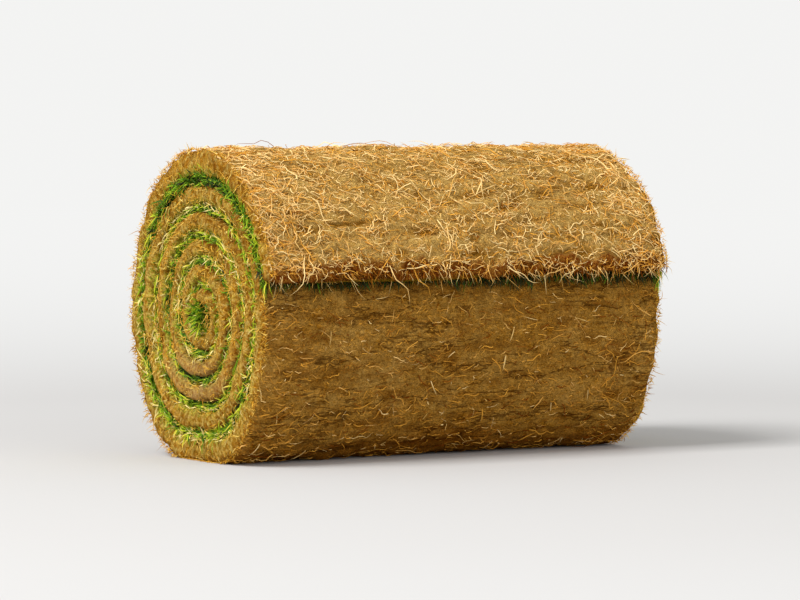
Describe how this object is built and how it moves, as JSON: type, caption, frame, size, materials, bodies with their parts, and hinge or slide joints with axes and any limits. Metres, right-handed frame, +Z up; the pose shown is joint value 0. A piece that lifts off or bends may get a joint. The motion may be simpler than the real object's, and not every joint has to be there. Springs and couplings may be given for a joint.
{
  "type": "roll of turf",
  "caption": "Wound roll of cultivated turf, soil and root side out, with its free end hanging over the front and the turns of grass showing on both ends.",
  "frame": {"origin": "middle of the roll's footprint, on the surface that it lies on", "axes": "+X along the roll, -Y towards the side where the strip's free end hangs down, +Z up"},
  "size_m": [0.4, 0.2446, 0.2649],
  "materials": {
    "turf": "matte"
  },
  "bodies": {
    "root": {"turf_roll": "turf"}
  },
  "joints": []
}
